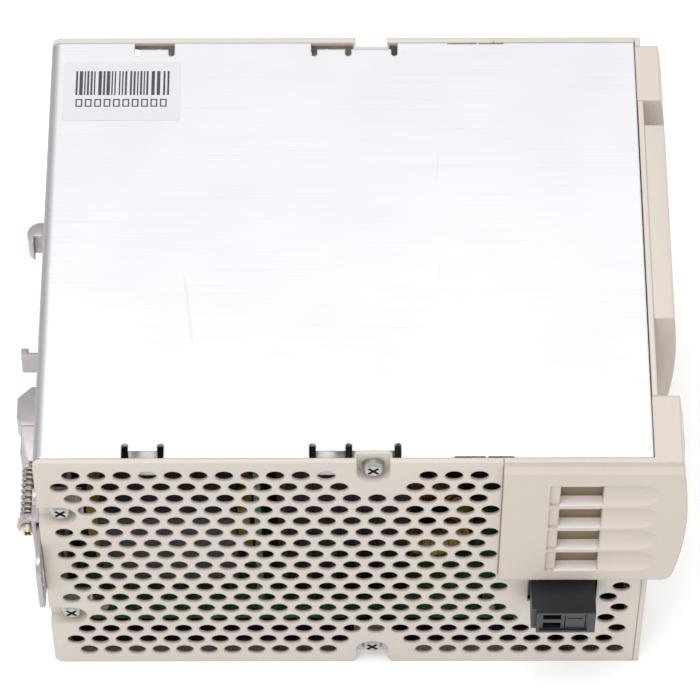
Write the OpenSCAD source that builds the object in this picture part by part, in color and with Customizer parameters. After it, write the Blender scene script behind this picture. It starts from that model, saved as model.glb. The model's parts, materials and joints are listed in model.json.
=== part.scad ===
// DIN rail power supply, lying on its side cover.
// +X towards the front with the terminals, +Y towards the top end, +Z out of the brushed side plate.

/* [Housing] */
// front to back, without the covers and the rail clip
body_d = 147; // [140:0.5:160]
// bottom end to top end
body_h = 125; // [122:0.5:140]
// width along the rail
body_w = 95; // [95:0.5:110]
// aluminium sheet
sheet_t = 1.5; // [1:0.1:2]
// painted end panels
panel_t = 0.8; // [0.8:0.1:1.4]
// outer radius of the folded back edge
fold_r = 2.5; // [1.8:0.1:3]

/* [Vent holes] */
// hole diameter
vent_d = 4.4; // [3:0.1:4.8]
// distance between holes in a row
vent_pitch = 6; // [5.6:0.1:7]
// rows across the width
vent_rows = 17; // [8:1:17]
// holes in a row
vent_cols = 23; // [10:1:23]

/* [Panel screws] */
// depth of the stamped recess under each head
recess_depth = 2.7; // [1.5:0.1:3]
// radius of the recess
recess_r = 3.9; // [3.5:0.05:3.95]
// wall of the stamped recess
recess_wall = 0.7; // [0.5:0.1:0.7]
// head radius
head_r = 2.7; // [2.2:0.1:3]
// thread radius
screw_r = 1.5; // [1.2:0.1:1.6]

/* [Front covers] */
// wall of the moulded covers
cover_wall = 1.8; // [1.2:0.1:2.2]
// radius of the bulged front face
bulge_r = 141; // [100:1:300]
// low edge of the covers across the width
cover_low = 43.5; // [43.5:0.5:45]
// how far the terminal covers stand out of the end panels
cover_lift = 1.6; // [1:0.1:2.4]
// how far the output cover stands out of the housing
output_proud = 7.5; // [5:0.1:9]
// how far the middle cover stands out
middle_proud = 6.3; // [4:0.1:8]
// how far the input cover stands out
input_proud = 6.7; // [4:0.1:8]

/* [Terminals] */
// distance between poles
pole_pitch = 10.1; // [9.6:0.1:10.5]
// clamp travel from open to closed
clamp_travel = 3.5; // [1:0.1:3.5]
// terminal screw radius
clamp_screw_r = 1.9; // [1.5:0.05:2]

/* [Rail clip] */
// width of the rail that the clip takes
rail_w = 35; // [35:0.1:35.5]
// thickest rail sheet
rail_t = 1.5; // [1:0.1:1.6]
// middle of the rail above the middle of the housing
rail_y = 15; // [15:0.1:15.4]
// latch travel
latch_travel = 5; // [4:0.5:6]

/* [Hidden] */
$fn = 48;
hx = body_d / 2;
hy = body_h / 2;
mid_z = body_w / 2;
gap = 0.1;
fit = 0.05;
row_step = vent_pitch * sqrt(3) / 2;
vent_x0 = -64.7;
vent_z0 = 89.2;
rim_t = 1.5;
edge_y = hy - rim_t - gap;
front_t = 1.3;
front_x = hx - front_t;
plate_x1 = front_x - 0.35;
seat_y = hy - recess_depth;
tab_y = seat_y - panel_t - gap;
centre_screws = [[6.35, 90.4], [6.35, 6.2]];
side_screws_z = [71.2, 23.5];
side_screw_x = -68.25;
output_y = 43.9;
input_y = 42.8;
input_end = 59.8;
cover_x = 36.9;
board_x = 42;
board_t = 1.6;
block_x0 = board_x + board_t;
wire_x0 = 50.5;
wire_w = 10.2;
wire_h = 8.8;
clamp_y = 53.5;
clamp_x0 = 51.2;
clamp_l = 10.4;
clamp_wall = 1.2;
clamp_w = 8.2;
clamp_d = 9;
pocket_x1 = clamp_x0 + clamp_l + clamp_travel + 0.2;
head_x0 = pocket_x1 + 1.3;
block_x1 = head_x0 + 3.6;
mouth_depth = 3.1;
mouth_drop = 1.9;
output_mouths = [for (i = [0 : 3]) 82.5 - pole_pitch * i];
input_mouths = [for (i = [0 : 2]) 77.4 - pole_pitch * i];
output_poles = [for (z = output_mouths) z + mouth_drop];
input_poles = [for (z = input_mouths) z + mouth_drop];
face_y = hy + cover_lift;
face_in_y = 59.6;
flute_depth = 0.9;
flute_r = 13.25;
seat_x = -hx - 4.1;
lip_x = seat_x - rail_t - 0.5;
hook_x = -hx - 7.9;
strip_x = -hx - 0.1;
strip_t = 1.2;
bridge_x = strip_x - strip_t - 0.2;
bridge_t = 1.1;
foot_t = 1.2;
clip_z = [43.7, 51.3];
plug_x0 = 45.1;
plug_x1 = 60.7;
plug_z0 = 31;
plug_z1 = 40.5;
floor_z = 6;
deck_z = floor_z + board_t;
beige = [0.84, 0.80, 0.75];
bare = [0.86, 0.86, 0.88];
zinc = [0.66, 0.63, 0.63];
steel = [0.75, 0.75, 0.76];
green = [0.10, 0.32, 0.18];
black = [0.10, 0.10, 0.11];
copper = [0.72, 0.40, 0.18];

// ---- helpers ----

// a plan in X and Z, with its thickness along Y
module along_y(y0, len) {
    translate([0, y0 + len, 0]) rotate([90, 0, 0]) linear_extrude(len) children();
}

// a plan in Y and Z, with its thickness along X
module along_x(x0, len) {
    translate([x0, 0, 0]) rotate([90, 0, 90]) linear_extrude(len) children();
}

module block(x0, x1, y0, y1, z0, z1) {
    translate([x0, y0, z0]) cube([x1 - x0, y1 - y0, z1 - z0]);
}

module rod_x(x0, x1, y, z, r) {
    translate([x0, y, z]) rotate([0, 90, 0]) cylinder(r = r, h = x1 - x0);
}

module rod_y(y0, y1, x, z, r) {
    translate([x, y1, z]) rotate([90, 0, 0]) cylinder(r = r, h = y1 - y0);
}

module round_rect(x0, x1, y0, y1, r) {
    translate([x0 + r, y0]) square([x1 - x0 - 2 * r, y1 - y0]);
    translate([x0, y0 + r]) square([x1 - x0, y1 - y0 - 2 * r]);
    for (x = [x0 + r, x1 - r], y = [y0 + r, y1 - r]) translate([x, y]) circle(r = r);
}

// head up along +Z, thread down from the seat at Z = 0
module pan_screw(thread_r, top_r, top_h, len) {
    difference() {
        union() {
            cylinder(r = top_r, h = top_h * 0.6);
            translate([0, 0, top_h * 0.6]) cylinder(r1 = top_r, r2 = top_r * 0.72, h = top_h * 0.4);
            translate([0, 0, -len]) cylinder(r = thread_r, h = len + 0.1);
        }
        for (a = [45, 135]) rotate([0, 0, a])
            translate([-top_r * 0.62, -0.38, top_h * 0.4]) cube([top_r * 1.24, 0.76, top_h]);
    }
}

module with_mirror_y() {
    children();
    mirror([0, 1, 0]) children();
}

// ---- end panels ----

module panel_outline(inset = 0) {
    x1 = front_x - gap - inset;
    round_rect(-hx + inset, x1, inset, body_w - inset, fold_r - inset);
    translate([0, inset]) square([x1, body_w - 2 * inset]);
}

function near(p, q, d) = norm([p[0] - q[0], p[1] - q[1]]) < d;

function vent_clear(p) =
    !near(p, centre_screws[0], 8.9) && !near(p, centre_screws[1], 8.9)
    && !near(p, [side_screw_x, side_screws_z[0]], 6.8)
    && !near(p, [side_screw_x, side_screws_z[1]], 6.8)
    && !(p[1] > cover_low - vent_d && p[0] > cover_x - vent_d / 2)
    || (p[1] < cover_low - vent_d / 2 && p[0] > plug_x1 + 2.4)
    || (p[1] < cover_low - vent_d / 2 && p[0] > cover_x - vent_d / 2 && p[0] < 38);

function plug_blank(p) =
    (p[1] > 24 && p[1] < cover_low && p[0] > 38 && p[0] < plug_x1 + 2.4)
    || (p[1] > 14 && p[1] <= 24 && p[0] > 45 && p[0] < plug_x1 + 2.4);

module vents() {
    for (j = [0 : vent_rows - 1], i = [0 : vent_cols - 1]) {
        p = [vent_x0 + vent_pitch * (i - (j % 2) / 2), vent_z0 - row_step * j];
        if (vent_clear(p) && !plug_blank(p)) translate(p) circle(d = vent_d, $fn = 32);
    }
}

// turn 0 opens to the back edge, 90 to the low edge, -90 to the high edge
module recess(p, turn, grow) {
    translate(p) rotate(turn) {
        circle(r = recess_r + grow);
        translate([-9, -recess_r - grow]) square([9, 2 * (recess_r + grow)]);
    }
}

module each_recess(grow) {
    recess(centre_screws[0], -90, grow);
    recess(centre_screws[1], 90, grow);
    for (z = side_screws_z) recess([side_screw_x, z], 0, grow);
}

module screw_spots() {
    for (p = centre_screws) translate([p[0], 0, p[1]]) children();
    for (z = side_screws_z) translate([side_screw_x, 0, z]) children();
}

// rounds the upper corners of the stamped lug
module lug_corners() {
    for (s = [-1, 1]) translate([centre_screws[0][0] + s * (recess_r + recess_wall - 1.4), body_w - 1.4])
        scale([s, 1]) difference() {
            square(1.6);
            circle(r = 1.4);
        }
}

module end_panel(has_plug) {
    difference() {
        union() {
            along_y(-hy, panel_t) difference() {
                panel_outline();
                each_recess(0);
                vents();
            }
            // folded rim
            along_y(-hy, rim_t) difference() {
                panel_outline();
                panel_outline(rim_t);
                each_recess(0);
            }
            along_y(-hy, recess_depth + panel_t) intersection() {
                panel_outline();
                difference() {
                    each_recess(recess_wall);
                    each_recess(0);
                }
            }
            along_y(-seat_y, panel_t) intersection() {
                panel_outline();
                each_recess(recess_wall);
            }
        }
        along_y(-hy + rim_t, recess_depth + 1) lug_corners();
        along_y(-hy - 1, recess_depth + panel_t + 2) {
            translate([cover_x - gap, cover_low - gap]) square([hx, body_w]);
            if (has_plug)
                translate([plug_x0 - 0.6, plug_z0 - 0.7]) square([plug_x1 - plug_x0 + 1.2, 10.3]);
        }
        // the low recess runs out through a flared mouth
        along_y(-hy - 1, recess_depth + panel_t + 2)
            translate([centre_screws[1][0], 0])
                polygon([[-5.4, -1], [5.4, -1], [3.6, 2.4], [-3.6, 2.4]]);
        screw_spots() rod_y(-hy, 0, 0, 0, screw_r + 0.2);
    }
}

module bottom_grille() {
    color(beige) end_panel(true);
}

module top_grille() {
    color(beige) mirror([0, 1, 0]) end_panel(false);
}

module grille_screws() {
    color(steel) with_mirror_y() screw_spots()
        translate([0, -seat_y, 0]) rotate([90, 0, 0]) pan_screw(screw_r, head_r, 2.1, 5.5);
}

// ---- aluminium shell ----

module fold_profile() {
    difference() {
        translate([-hx + fold_r, body_w - fold_r]) circle(r = fold_r);
        translate([-hx + fold_r, body_w - fold_r]) circle(r = fold_r - sheet_t);
        translate([-hx + fold_r, body_w - 3 * fold_r]) square(4 * fold_r);
        translate([-hx - fold_r, body_w - 5 * fold_r]) square(4 * fold_r);
    }
    translate([-hx + fold_r, body_w - sheet_t]) square([plate_x1 + hx - fold_r, sheet_t]);
    translate([-hx, sheet_t + gap]) square([sheet_t, body_w - fold_r - sheet_t - gap]);
}

module relief(x, y0) {
    translate([x, y0, body_w - sheet_t - 1]) {
        translate([-0.78, 0, 0]) cube([1.56, 6, sheet_t + 2]);
        cylinder(r = 0.78, h = sheet_t + 2);
    }
}

// a threaded ear behind a panel recess
module ear(x0, x1, z0, z1, x, z) {
    difference() {
        block(x0, x1, tab_y - sheet_t, tab_y, z0, z1);
        rod_y(tab_y - 5, tab_y + 5, x, z, screw_r + fit);
    }
}

slot_x = [-51.9, -43.5, -7.9, 0.6, 12.1];
flange_x = [[-51.12, -44.28], [-7.12, -0.18], [1.38, 11.32]];

module chassis() {
    color(bare) {
        difference() {
            along_y(-edge_y, 2 * edge_y) fold_profile();
            with_mirror_y() {
                for (x = slot_x) relief(x, tab_y - 1.3);
                for (x = [[-52.68, -42.72], [-8.68, 12.88]])
                    block(x[0], x[1], tab_y, edge_y + 1, body_w - 4, body_w + 1);
                for (x = [[25.3, 32.6], [33.2, 39.3]])
                    block(x[0], x[1], edge_y - 0.4, edge_y + 1, body_w - 4, body_w + 1);
                for (z = side_screws_z)
                    block(-hx - 1, -hx + sheet_t + 1, tab_y, edge_y + 1, z - 5, z + 5);
            }
            for (y = clip_screws_y(), z = clip_screws_z()) rod_x(-hx - 1, -hx + 5, y, z, 1.2 + fit);
            for (z = guide_screws_z()) rod_x(-hx - 1, -hx + 5, -53, z, 1.2 + fit);
            for (y = [-40, 40]) rod_x(-hx - 1, -hx + 5, y, 8, screw_r + fit);
        }
        with_mirror_y() {
            // edge flanges, one of them threaded
            for (x = flange_x) difference() {
                block(x[0], x[1], tab_y - sheet_t, tab_y, body_w - 11, body_w);
                rod_y(tab_y - 5, tab_y + 5, centre_screws[0][0], centre_screws[0][1], screw_r + fit);
            }
            for (z = side_screws_z) ear(-hx + sheet_t, -63, z - 5, z + 5, side_screw_x, z);
        }
    }
}

module side_cover() {
    color(bare) {
        difference() {
            block(-hx, front_x - gap, -edge_y, edge_y, 0, sheet_t);
            with_mirror_y() block(1, 11.7, tab_y, edge_y + 1, -1, sheet_t + 1);
        }
        difference() {
            block(-hx + sheet_t + gap, -hx + 2 * sheet_t + gap, -50, 50, sheet_t, 14);
            for (y = [-40, 40]) rod_x(-hx, -hx + 6, y, 8, screw_r + fit);
        }
        with_mirror_y()
            ear(1.8, 10.9, sheet_t, 12, centre_screws[1][0], centre_screws[1][1]);
    }
}

module side_screws() {
    color(steel) for (y = [-40, 40]) translate([-hx, y, 8]) rotate([0, -90, 0])
        pan_screw(screw_r, head_r, 1.6, 5);
}

module label() {
    color([0.93, 0.92, 0.97]) block(-70.1, -41, 37, 55, body_w, body_w + 0.15);
}

// ---- front ----

module front_panel() {
    color(beige) difference() {
        along_x(front_x, front_t) difference() {
            translate([-hy, 0]) square([body_h, body_w]);
            translate([-hy - 1, cover_low - gap]) square([hy - output_y + 1 + gap, body_w]);
            translate([input_y - gap, cover_low - gap])
                square([input_end - input_y + 2 * gap, body_w]);
            translate([adjuster_y, control_z]) circle(r = 3.4);
            translate([switch_y, control_z]) square([9.4, 4.4], center = true);
            for (y = light_y) translate([y, control_z]) circle(r = 1.6);
        }
    }
}

module bulge(proud, z_mid, wall) {
    front = hx + proud - wall;
    corner = front - 4.7;
    intersection() {
        translate([0, cover_low + wall]) square([front, body_w - cover_low - 2 * wall]);
        translate([front - bulge_r, z_mid]) circle(r = bulge_r, $fn = 180);
        union() {
            translate([0, cover_low + wall + 2.5]) square([hx + 20, body_w]);
            translate([corner, cover_low + wall + 2.5]) circle(r = 2.5);
            translate([0, cover_low + wall]) square([corner, 5]);
        }
    }
}

module middle_cover() {
    color(beige) difference() {
        along_y(-21.9, 57.3) intersection() {
            bulge(middle_proud, 75, 0);
            translate([hx, 0]) square([20, body_w]);
        }
        along_y(-21.9 + cover_wall, 57.3 - 2 * cover_wall) bulge(middle_proud, 75, cover_wall);
    }
}

// hollow beside each wire mouth, running out towards the front
module flute(z) {
    rod_x(60, 69.7, -face_y - flute_r + flute_depth, z, flute_r);
    translate([69.7, -face_y - flute_r + flute_depth - 0.38, z]) sphere(r = flute_r + 0.35);
}

// wires enter at low Y; the part in front of the housing ends at y_end
module terminal_cover(mouths, proud, y_in, y_end) {
    back_x = block_x0 + 0.6;
    end_x = y_end > hy ? hx : front_x - gap;
    top_z = body_w - sheet_t - gap;
    mouth_x1 = wire_x0 + wire_w;
    last = mouths[len(mouths) - 1] + mouth_drop;
    difference() {
        union() {
            along_y(-y_end, y_end - y_in) intersection() {
                bulge(proud, 69.5, 0);
                translate([front_x - gap, 0]) square([20, body_w]);
            }
            block(back_x, end_x, -hy, -y_in, cover_low, top_z);
            // wiring face
            along_x(cover_x, end_x - cover_x) polygon([[-face_y, cover_low], [-face_y, body_w],
                [-edge_y - gap, body_w], [-edge_y - gap, top_z], [-face_in_y, top_z],
                [-face_in_y, cover_low]]);
        }
        // bevelled top of the part that stands out of the end panel
        along_x(cover_x - 1, 60) polygon([[-hy, 93.7], [-hy, body_w + 1], [-face_y - 1, body_w + 1],
            [-face_y - 1, 91], [-face_y, 92]]);
        along_y(-y_end + cover_wall, y_end - y_in - 2 * cover_wall) intersection() {
            bulge(proud, 69.5, cover_wall);
            translate([mouth_x1 + 1.8, 0]) square([60, top_z - cover_wall]);
        }
        // room for the terminal block
        block(back_x - 1, block_x1 + 0.3, -face_in_y, -y_in - cover_wall,
            cover_low + cover_wall, top_z - cover_wall);
        // window over the screw heads
        block(hx - 1, hx + 20, -clamp_y - 4, -clamp_y + 4, last - 4.5, mouths[0] + mouth_drop + 4.5);
        for (z = mouths) {
            block(wire_x0, mouth_x1, -face_y - 1, -face_y + mouth_depth, z - wire_h / 2, z + wire_h / 2);
            block(wire_x0 - 2.4, wire_x0 + 1, -face_y - 1, -face_y + 0.6, z - wire_h / 2, z + wire_h / 2);
            block(52.8, 59.1, -face_y, -face_in_y + 1, z + mouth_drop - 2.15, z + mouth_drop + 2.15);
            flute(z);
        }
    }
}

module output_cover() {
    color(beige) terminal_cover(output_mouths, output_proud, output_y, face_y);
}

module input_cover() {
    color(beige) mirror([0, 1, 0]) terminal_cover(input_mouths, input_proud, input_y, input_end);
}

adjuster_y = 20;
switch_y = 4;
light_y = [-8, -16];
control_z = 22;

module adjuster_body() {
    color([0.15, 0.25, 0.55]) {
        difference() {
            block(60, 70.5, adjuster_y - 4.8, adjuster_y + 4.8, control_z - 4.8, control_z + 4.8);
            rod_x(63, 80, adjuster_y, control_z, 2.9 + fit);
        }
        for (y = [-3, 3]) rod_x(block_x0, 60.5, adjuster_y + y, control_z, 0.5);
    }
}

module adjuster() {
    color([0.93, 0.92, 0.88]) difference() {
        rod_x(63.2, 74.6, adjuster_y, control_z, 2.9);
        block(73.4, 80, adjuster_y - 4, adjuster_y + 4, control_z - 0.4, control_z + 0.4);
    }
}

module switch_body() {
    color(black) {
        difference() {
            block(64, 72, switch_y - 6.5, switch_y + 6.5, control_z - 3.4, control_z + 3.4);
            block(67, 80, switch_y - 4.2, switch_y + 4.2, control_z - 1.7, control_z + 1.7);
        }
        for (y = [-4, 0, 4]) rod_x(block_x0, 64.5, switch_y + y, control_z, 0.5);
    }
}

module mode_switch() {
    color([0.90, 0.90, 0.88]) {
        block(67.3, 70.5, switch_y - 4, switch_y + 0.9, control_z - 1.6, control_z + 1.6);
        block(70, 74.8, switch_y - 3, switch_y - 0.2, control_z - 1.4, control_z + 1.4);
    }
}

module status_lights() {
    color([0.75, 0.88, 0.70]) for (y = light_y) {
        rod_x(block_x0, 73.8, y, control_z, 1.45);
        translate([73.8, y, control_z]) rotate([0, 90, 0]) cylinder(r1 = 1.45, r2 = 1, h = 0.5);
    }
}

// ---- terminals ----

module terminal_block(poles) {
    z0 = poles[len(poles) - 1] - pole_pitch / 2 - 1.4;
    z1 = poles[0] + pole_pitch / 2 + 1.4;
    difference() {
        block(block_x0, block_x1, -face_in_y + 0.3, -46, z0, z1);
        for (z = poles) {
            // slot for the clamp, open to the wire side
            block(clamp_x0 - 0.2, pocket_x1, -hy, -clamp_y + clamp_d / 2 + 0.2,
                z - clamp_w / 2 - 0.2, z + clamp_w / 2 + 0.2);
            rod_x(pocket_x1 - 1, 90, -clamp_y, z, clamp_screw_r + 0.2);
            rod_x(head_x0, 90, -clamp_y, z, 3.4);
            block(block_x0 - 1, 60.4, -48.2, -45, z - 2.9, z + 2.9);
            block(58.9, 60.5, -clamp_y, -45, z - 2.9, z + 2.9);
        }
    }
}

module output_block() {
    color(black) terminal_block(output_poles);
}

module input_block() {
    color(black) mirror([0, 1, 0]) terminal_block(input_poles);
}

module contact_bars(poles) {
    for (z = poles) {
        block(59.2, 60.2, -clamp_y - 3.9, -46.2, z - 2.7, z + 2.7);
        block(block_x0, 60.2, -47.2, -46.2, z - 2.7, z + 2.7);
    }
}

module terminal_contacts() {
    color(copper) {
        contact_bars(output_poles);
        mirror([0, 1, 0]) contact_bars(input_poles);
    }
}

module clamp_cage(z) {
    x1 = clamp_x0 + clamp_l;
    color(steel) difference() {
        block(clamp_x0, x1, -clamp_y - clamp_d / 2, -clamp_y + clamp_d / 2,
            z - clamp_w / 2, z + clamp_w / 2);
        block(clamp_x0 + clamp_wall, x1 - clamp_wall, -clamp_y - clamp_d, -clamp_y + clamp_d,
            z - clamp_w / 2 + clamp_wall, z + clamp_w / 2 - clamp_wall);
        rod_x(x1 - 3, x1 + 3, -clamp_y, z, clamp_screw_r + fit);
    }
}

module clamp_screw(z) {
    color(steel) difference() {
        union() {
            rod_x(60.4, head_x0 + 0.2, -clamp_y, z, clamp_screw_r);
            rod_x(head_x0 + 0.1, head_x0 + 2.7, -clamp_y, z, 3.1);
        }
        block(head_x0 + 1.4, head_x0 + 4, -clamp_y - 4, -clamp_y + 4, z - 0.5, z + 0.5);
        block(head_x0 + 1.4, head_x0 + 4, -clamp_y - 0.5, -clamp_y + 0.5, z - 2, z + 2);
    }
}

module input_clamp(i) {
    mirror([0, 1, 0]) clamp_cage(input_poles[i]);
}

module input_screw(i) {
    mirror([0, 1, 0]) clamp_screw(input_poles[i]);
}

// ---- signal plug ----

module signal_plug() {
    color(black) difference() {
        union() {
            block(plug_x0, plug_x1, -hy - 9.3, -hy - 0.2, plug_z0, plug_z1);
            block(plug_x0 + 1.6, plug_x1 - 1.6, -hy - 0.3, -hy + 8, plug_z0 + 1.5, plug_z1 - 1.5);
        }
        // shallow face between the two side posts
        block(plug_x0 + 1.9, plug_x1 - 1.9, -hy - 10, -hy - 8.9, plug_z0 + 1, plug_z1 - 0.8);
        for (z = [33.9, 38.1]) block(47.9, 52.3, -hy - 10, -hy - 3, z - 1.3, z + 1.3);
        // release button
        difference() {
            block(53.1, 58.4, -hy - 10, -hy - 8.2, 32.8, 39.4);
            block(53.4, 58.1, -hy - 11, -hy - 8, 33.1, 39.1);
        }
        block(53.9, 57.6, -hy - 10, -hy - 8.2, 37.1, 37.5);
        for (z = [34, 37.7]) block(51.9, 53.5, -hy + 1, -hy + 9, z - 0.8, z + 0.8);
        // latch shoulder
        block(plug_x0 - 1, plug_x0 + 1.2, -hy - 10, -hy - 8, plug_z0 - 1, plug_z1 + 1);
    }
}

module signal_header() {
    color([0.16, 0.17, 0.18]) difference() {
        block(block_x0, plug_x1 - 0.4, -hy + panel_t + 0.3, -hy + 12, plug_z0 + 0.2, plug_z1 - 0.2);
        block(plug_x0 + 1.3, plug_x1 - 1.3, -hy, -hy + 9, plug_z0 + 1.2, plug_z1 - 1.2);
    }
    color([0.80, 0.70, 0.40]) for (z = [34, 37.7])
        block(52.2, 53.2, -hy + 2, -hy + 9.5, z - 0.5, z + 0.5);
}

// ---- rail clip ----

function clip_screws_y() = [3, 34];
function clip_screws_z() = [27.5, 67.5];
function guide_screws_z() = [30.5, 64.5];

module rail_bracket() {
    rail_top = rail_y + rail_w / 2 + 0.2;
    color(zinc) difference() {
        union() {
            along_y(-6.5, 47) {
                for (z = [[23, 35], [60, 72]])
                    translate([-hx - foot_t, z[0]]) square([foot_t, z[1] - z[0]]);
                translate([bridge_x - bridge_t, 34]) square([bridge_t, 27]);
                for (z = [34, 60])
                    translate([bridge_x - bridge_t, z]) square([-hx - bridge_x + bridge_t, 1]);
            }
            // pads that the rail's flanges bear on
            for (y = [[3, 7], [27, rail_top + 0.5]])
                block(seat_x, bridge_x - bridge_t + 0.1, y[0], y[1], 36, 46);
            // curled hook
            translate([0, 0, clip_z[0]]) linear_extrude(clip_z[1] - clip_z[0]) difference() {
                intersection() {
                    translate([-hx - 4.4, rail_top + 0.7]) circle(r = 3.5);
                    translate([-hx - 10, rail_top - 2.1]) square([10 + bridge_x + hx - bridge_t / 2, 10]);
                }
                translate([lip_x, rail_top - 5]) square([seat_x - lip_x, 5]);
            }
        }
        block(-hx - 20, bridge_x + 0.1, -8, 2, 42.4, 52.6);
        for (y = clip_screws_y(), z = clip_screws_z()) rod_x(-hx - 5, -hx + 5, y, z, 1.2 + fit);
    }
}

module rail_latch() {
    rail_low = rail_y - rail_w / 2 - 0.2;
    root_x = strip_x - 0.6;
    color(zinc) difference() {
        union() {
            // sliding strip with a rounded pull end
            translate([strip_x - strip_t, 0, 0]) rotate([90, 0, 90]) linear_extrude(strip_t) {
                translate([-65, 36.5]) square([64, 21]);
                round_rect(-69.3, -50, 36.5, 57.5, 4);
            }
            // catch behind the rail
            translate([0, 0, clip_z[0]]) linear_extrude(clip_z[1] - clip_z[0]) polygon([[root_x, rail_low],
                [lip_x, rail_low], [lip_x, rail_low + 1.2], [hook_x, rail_low + 1.2],
                [hook_x, rail_low - 1.2], [root_x, rail_low - 1.2]]);
            // bevelled grip
            translate([0, 0, clip_z[0]]) linear_extrude(clip_z[1] - clip_z[0]) polygon([[root_x, -12.9],
                [-hx - 4.8, -12.9], [-hx - 8.2, -16.3], [-hx - 8.2, -22], [-hx - 6.9, -24.3],
                [root_x, -24.3]]);
            // spring seat
            translate([0, 0, clip_z[0] + 0.4]) linear_extrude(clip_z[1] - clip_z[0] - 0.8) polygon([
                [root_x, -24], [-hx - 6.9, -24], [-hx - 6.9, -32.2], [-hx - 4.6, -34.4], [root_x, -34.4]]);
        }
        rod_y(-38, -28, spring_x, spring_z, 1.25 + fit);
        along_x(-hx - 5, 10) round_rect(-67.2, -63.9, 43, 51, 1.6);
    }
}

spring_x = -hx - 4.4;
spring_z = (clip_z[0] + clip_z[1]) / 2;
guide_y = -49.6;

module latch_spring() {
    turns = 8;
    coil_r = 2.25;
    color([0.30, 0.30, 0.31]) translate([spring_x, guide_y + 0.1, spring_z]) rotate([-90, 0, 0])
        linear_extrude(height = 15, twist = 360 * turns, slices = 10 * turns, $fn = 4)
            polygon([for (a = [0, 50, 100, 150]) coil_r * [cos(a), sin(a)],
                for (a = [150, 100, 50, 0]) (coil_r - 0.75) * [cos(a), sin(a)]]);
}

module latch_guide() {
    color(zinc) difference() {
        union() {
            along_y(-57, 7.4) {
                for (z = [[27, 35], [59, 68]])
                    translate([-hx - foot_t, z[0]]) square([foot_t, z[1] - z[0]]);
                translate([bridge_x - bridge_t, 34]) square([bridge_t, 26]);
                for (z = [34, 59])
                    translate([bridge_x - bridge_t, z]) square([-hx - bridge_x + bridge_t, 1]);
            }
            // eye that the adjusting screw passes
            along_y(guide_y - 1.7, 1.7) intersection() {
                translate([-hx - 3.3, spring_z]) circle(r = 3.75);
                translate([-hx - 10, spring_z - 5]) square([10 + bridge_x + hx - bridge_t / 2, 10]);
            }
        }
        rod_y(-58, -45, spring_x, spring_z, 1.6);
        for (z = guide_screws_z()) rod_x(-hx - 5, -hx + 5, -53, z, 1.2 + fit);
    }
}

module latch_screw() {
    color([0.74, 0.70, 0.60]) translate([spring_x, guide_y - 1.8, spring_z]) rotate([90, 0, 0])
        pan_screw(1.25, 1.7, 1.7, 19);
}

module bracket_screws() {
    color(steel) {
        for (y = clip_screws_y(), z = clip_screws_z()) translate([-hx - foot_t, y, z]) rotate([0, -90, 0])
            pan_screw(1.2, 2.3, 0.9, 4.6);
        for (z = guide_screws_z()) translate([-hx - foot_t, -53, z]) rotate([0, -90, 0])
            pan_screw(1.2, 2.3, 0.9, 4.6);
    }
}

// ---- boards and what stands on them ----

board_spots = [[-62, -50], [-62, 50], [36, -50], [36, 50]];

module main_board() {
    color(green) difference() {
        block(-68, block_x0, -53.4, 53.4, floor_z, deck_z);
        for (p = board_spots) translate([p[0], p[1], 0]) cylinder(r = screw_r + 0.2, h = 20);
    }
}

module front_board() {
    color(green) block(board_x, block_x0, -56, 56, deck_z, 90);
}

module control_board() {
    color(green) block(-22.4, -20.8, -52, -15, deck_z, 84);
}

module standoffs() {
    color(steel) for (p = board_spots) translate([p[0], p[1], sheet_t]) difference() {
        cylinder(r = 3.2, h = floor_z - sheet_t, $fn = 6);
        translate([0, 0, 0.6]) cylinder(r = screw_r + fit, h = 10);
    }
}

module board_screws() {
    color(steel) for (p = board_spots) translate([p[0], p[1], deck_z]) pan_screw(screw_r, head_r, 2, 5);
}

module bulk_capacitors() {
    color([0.12, 0.13, 0.20]) for (p = [[-50, 5], [-50, 36], [-18, 5]])
        translate([p[0], p[1], deck_z]) difference() {
            union() {
                cylinder(r = 15, h = 50);
                translate([0, 0, 50]) cylinder(r1 = 15, r2 = 14, h = 1);
            }
            translate([0, 0, 50.4]) cylinder(r = 12.5, h = 1);
            for (a = [0, 60, 120]) rotate([0, 0, a]) translate([-10, -0.4, 49.9]) cube([20, 0.8, 1]);
        }
}

module transformer_core() {
    color([0.20, 0.20, 0.21]) difference() {
        block(-61, -27, -48, -12, deck_z + 6, deck_z + 38);
        for (y = [[-41.5, -34.5], [-25.5, -18.5]])
            block(-62, -26, y[0], y[1], deck_z + 12, deck_z + 32);
    }
}

module transformer_coil() {
    color([0.85, 0.62, 0.15]) difference() {
        block(-64.5, -23.5, -41.2, -18.8, deck_z + 12.3, deck_z + 31.7);
        block(-61.3, -26.7, -34.8, -25.2, deck_z + 10, deck_z + 35);
    }
    color(copper) for (x = [-63, -25], y = [-38, -30, -22])
        block(x - 0.5, x + 0.5, y - 0.5, y + 0.5, deck_z, deck_z + 12.4);
}

module heatsink(x0, x1, screws) {
    difference() {
        union() {
            block(x0, x1, 44.5, 47.5, deck_z, 80);
            for (x = [x0 + 1 : 6 : x1 - 2]) block(x, x + 1.5, 47, 52, deck_z + 2, 80);
        }
        for (x = screws) rod_y(43, 53, x, 44, screw_r + 0.2);
    }
}

module heatsinks() {
    color([0.15, 0.15, 0.16]) {
        heatsink(-33, -1, high_chips);
        mirror([0, 1, 0]) heatsink(-17, 15, low_chips);
    }
}

high_chips = [-25, -9];
low_chips = [-8.5];

module power_chip(x) {
    color(black) difference() {
        block(x - 7.8, x + 7.8, 39.5, 44.5, deck_z + 14, deck_z + 40);
        rod_y(38, 46, x, 44, screw_r + 0.2);
    }
    color(steel) for (s = [-5.4, 0, 5.4])
        block(x + s - 0.5, x + s + 0.5, 41.5, 42.3, deck_z, deck_z + 14);
}

module power_semiconductors() {
    for (x = high_chips) power_chip(x);
    mirror([0, 1, 0]) for (x = low_chips) power_chip(x);
}

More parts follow.
